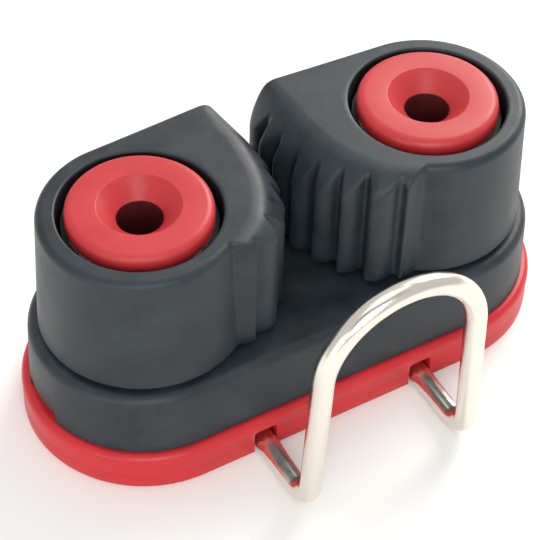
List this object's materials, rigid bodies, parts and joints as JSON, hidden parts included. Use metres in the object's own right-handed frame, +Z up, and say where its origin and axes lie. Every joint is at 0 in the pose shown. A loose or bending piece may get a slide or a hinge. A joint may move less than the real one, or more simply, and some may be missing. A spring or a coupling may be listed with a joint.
{
  "type": "cam cleat",
  "caption": "Rope clamp with two toothed spring-loaded cams on ball rows, standing on a base with a red riser plate and a wire fairlead loop.",
  "frame": {"origin": "on the deck face of the riser plate, midway between the two screw holes", "axes": "+X along the line of the screws towards the right cam, +Y to the rear, away from the wire fairlead and the load, +Z up from the deck"},
  "size_m": [0.068, 0.0413, 0.0327],
  "materials": {
    "riser_plate": "moulded red nylon, satin",
    "cleat_base": "moulded slate grey filled nylon",
    "wire_fairlead": "polished stainless steel wire",
    "cams": "moulded slate grey filled nylon, satin",
    "bushes": "moulded red acetal, satin",
    "balls": "white acetal balls",
    "springs": "stainless spring wire",
    "washers": "black acetal"
  },
  "bodies": {
    "base": {"riser_plate": "riser_plate", "cleat_base": "cleat_base", "wire_fairlead": "wire_fairlead", "left_bush": "bushes", "right_bush": "bushes", "left_washer": "washers", "right_washer": "washers", "left_spring": "springs", "right_spring": "springs"},
    "left_cam": {"left_cam": "cams"},
    "right_cam": {"right_cam": "cams"},
    "left_balls": {"left_balls_top": "balls", "left_balls_middle": "balls", "left_balls_bottom": "balls"},
    "right_balls": {"right_balls_top": "balls", "right_balls_middle": "balls", "right_balls_bottom": "balls"}
  },
  "joints": [
    {"name": "left_cam_pivot", "type": "hinge", "parent": "base", "child": "left_cam", "pos_m": [-0.019, 0, 0.0227], "axis": [0, 0, 1], "range_deg": [0, 55], "stiffness_Nm_per_rad": 0.02, "springref_deg": -34.38, "deforming": ["left_spring"]},
    {"name": "right_cam_pivot", "type": "hinge", "parent": "base", "child": "right_cam", "pos_m": [0.019, 0, 0.0227], "axis": [0, 0, -1], "range_deg": [0, 55], "stiffness_Nm_per_rad": 0.02, "springref_deg": -34.38, "deforming": ["right_spring"]},
    {"name": "left_balls_roll", "type": "hinge", "parent": "base", "child": "left_balls", "pos_m": [-0.019, 0, 0.0246], "axis": [0, 0, 1], "range_deg": [0, 33]},
    {"name": "right_balls_roll", "type": "hinge", "parent": "base", "child": "right_balls", "pos_m": [0.019, 0, 0.0246], "axis": [0, 0, -1], "range_deg": [0, 33]}
  ],
  "couplings": [
    {"joint": "left_balls_roll", "follows": "left_cam_pivot", "ratio": 0.5888},
    {"joint": "right_balls_roll", "follows": "right_cam_pivot", "ratio": 0.5888}
  ]
}
